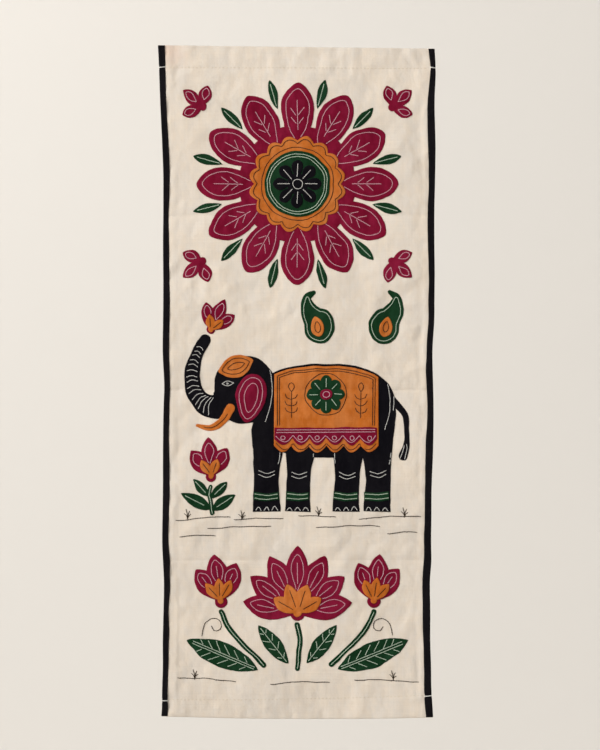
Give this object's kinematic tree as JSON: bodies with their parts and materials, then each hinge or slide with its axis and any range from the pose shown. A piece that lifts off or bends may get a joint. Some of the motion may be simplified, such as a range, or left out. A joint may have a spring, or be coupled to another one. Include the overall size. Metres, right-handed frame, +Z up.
{
  "type": "hanging applique panel",
  "caption": "Narrow cotton wall hanging with turned hems, bound side edges and cut motifs sewn on its face.",
  "frame": {"origin": "middle of the panel's top edge, in the thickness of the cloth", "axes": "+Z up, with the panel hanging down along -Z; +X to the right seen from the front; the front faces -Y"},
  "size_m": [0.3784, 0.0236, 0.9182],
  "materials": {
    "cream_cotton": "unbleached plain-weave cotton, matt",
    "black_binding": "black cotton binding, matt",
    "maroon_cotton": "maroon cotton, matt",
    "orange_cotton": "orange cotton, matt, slightly mottled",
    "green_cotton": "dark green cotton, matt",
    "black_cotton": "black cotton, matt"
  },
  "bodies": {
    "root": {"ground_cloth": "cream_cotton", "binding_left": "black_binding", "binding_right": "black_binding", "rosette_petals": "maroon_cotton", "rosette_frill": "orange_cotton", "rosette_disc": "green_cotton", "rosette_heart": "black_cotton", "rosette_leaf_01": "green_cotton", "rosette_leaf_02": "green_cotton", "rosette_leaf_03": "green_cotton", "rosette_leaf_04": "green_cotton", "rosette_leaf_05": "green_cotton", "rosette_leaf_06": "green_cotton", "rosette_leaf_07": "green_cotton", "rosette_leaf_08": "green_cotton", "rosette_leaf_09": "green_cotton", "rosette_leaf_10": "green_cotton", "rosette_leaf_11": "green_cotton", "rosette_leaf_12": "green_cotton", "sprig_1": "maroon_cotton", "sprig_2": "maroon_cotton", "sprig_3": "maroon_cotton", "sprig_4": "maroon_cotton", "elephant_body": "black_cotton", "elephant_ear": "maroon_cotton", "elephant_cap": "orange_cotton", "elephant_tusk": "orange_cotton", "saddle_cloth": "orange_cotton", "saddle_border": "maroon_cotton", "saddle_flower": "green_cotton", "saddle_eye": "maroon_cotton", "anklet_1": "green_cotton", "anklet_2": "green_cotton", "anklet_3": "green_cotton", "anklet_4": "green_cotton", "held_bud": "maroon_cotton", "held_cup": "orange_cotton", "bush_leaves": "green_cotton", "bush_bud": "maroon_cotton", "bush_cup": "orange_cotton", "paisley_1": "green_cotton", "paisley_2": "green_cotton", "paisley_eye_1": "orange_cotton", "paisley_eye_2": "orange_cotton", "lotus_flower": "maroon_cotton", "lotus_cup": "orange_cotton", "bud_left": "maroon_cotton", "bud_right": "maroon_cotton", "cup_left": "orange_cotton", "cup_right": "orange_cotton", "stem_1": "green_cotton", "stem_2": "green_cotton", "stem_3": "green_cotton", "leaf_1": "green_cotton", "leaf_2": "green_cotton", "leaf_3": "green_cotton", "leaf_4": "green_cotton"}
  },
  "joints": []
}
